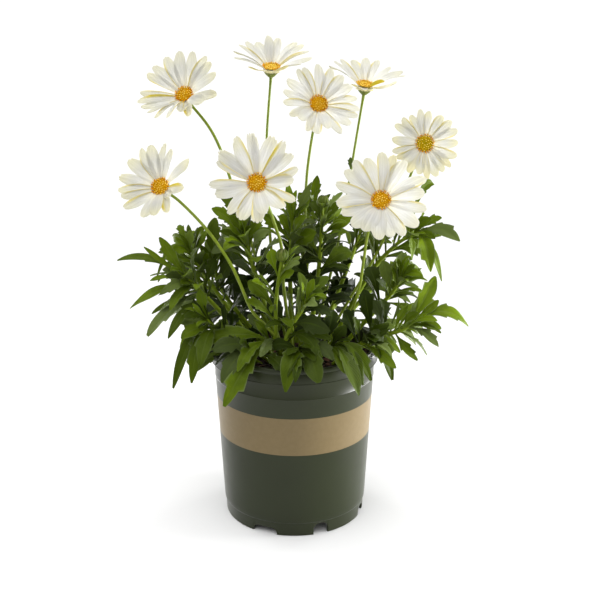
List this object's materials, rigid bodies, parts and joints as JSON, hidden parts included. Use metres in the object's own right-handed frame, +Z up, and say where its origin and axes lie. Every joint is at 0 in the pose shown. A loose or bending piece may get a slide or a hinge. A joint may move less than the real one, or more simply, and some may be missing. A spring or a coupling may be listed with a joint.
{
  "type": "osteospermum in a nursery pot",
  "caption": "White daisy-flowered osteospermum with leafy shoots and tall flower stems, growing in a round tapered nursery pot with a tan band.",
  "frame": {"origin": "centre of the pot's foot, on the ground", "axes": "+Z up along the pot's axis, -Y to the front, the side that most flowers face, +X to the right seen from the front"},
  "size_m": [0.323, 0.2103, 0.4497],
  "materials": {
    "pot_plastic": "smooth dark olive green, semi-gloss, with a matt tan band round the middle",
    "growing_mix": "loose damp bark and peat, matt",
    "leaf": "soft satin green, paler midrib",
    "stem": "satin lime green, finely ribbed",
    "petal": "matt white, creamy at the tips, finely grooved",
    "floret": "granular orange to golden yellow",
    "bract": "satin green"
  },
  "bodies": {
    "root": {"bud_front": "bract", "bud_top": "bract", "calyx_front_left": "bract", "calyx_front_right": "bract", "calyx_left": "bract", "calyx_right": "bract", "calyx_top": "bract", "calyx_upper_left": "bract", "calyx_upper_middle": "bract", "calyx_upper_right": "bract", "disc_front_left": "floret", "disc_front_right": "floret", "disc_left": "floret", "disc_right": "floret", "disc_top": "floret", "disc_upper_left": "floret", "disc_upper_middle": "floret", "disc_upper_right": "floret", "pot": "pot_plastic", "rays_front_left": "petal", "rays_front_right": "petal", "rays_left": "petal", "rays_right": "petal", "rays_top": "petal", "rays_upper_left": "petal", "rays_upper_middle": "petal", "rays_upper_right": "petal", "shoot_front_centre": "leaf", "shoot_front_low_left": "leaf", "shoot_front_low_middle": "leaf", "shoot_front_low_right": "leaf", "shoot_front_right": "leaf", "shoot_left_low": "leaf", "shoot_left_middle": "leaf", "shoot_left_top": "leaf", "shoot_left_upper": "leaf", "shoot_middle_left": "leaf", "shoot_rear_left": "leaf", "shoot_rear_left_top": "leaf", "shoot_rear_low_left": "leaf", "shoot_rear_low_right": "leaf", "shoot_rear_middle": "leaf", "shoot_rear_right": "leaf", "shoot_rear_right_top": "leaf", "shoot_rear_top": "leaf", "shoot_right_front": "leaf", "shoot_right_low": "leaf", "shoot_right_top": "leaf", "shoot_right_tuft": "leaf", "shoot_top_bud": "leaf", "shoot_top_middle": "leaf", "soil": "growing_mix", "stem_front_left": "stem", "stem_front_right": "stem", "stem_left": "stem", "stem_right": "stem", "stem_top": "stem", "stem_upper_left": "stem", "stem_upper_middle": "stem", "stem_upper_right": "stem"}
  },
  "joints": []
}
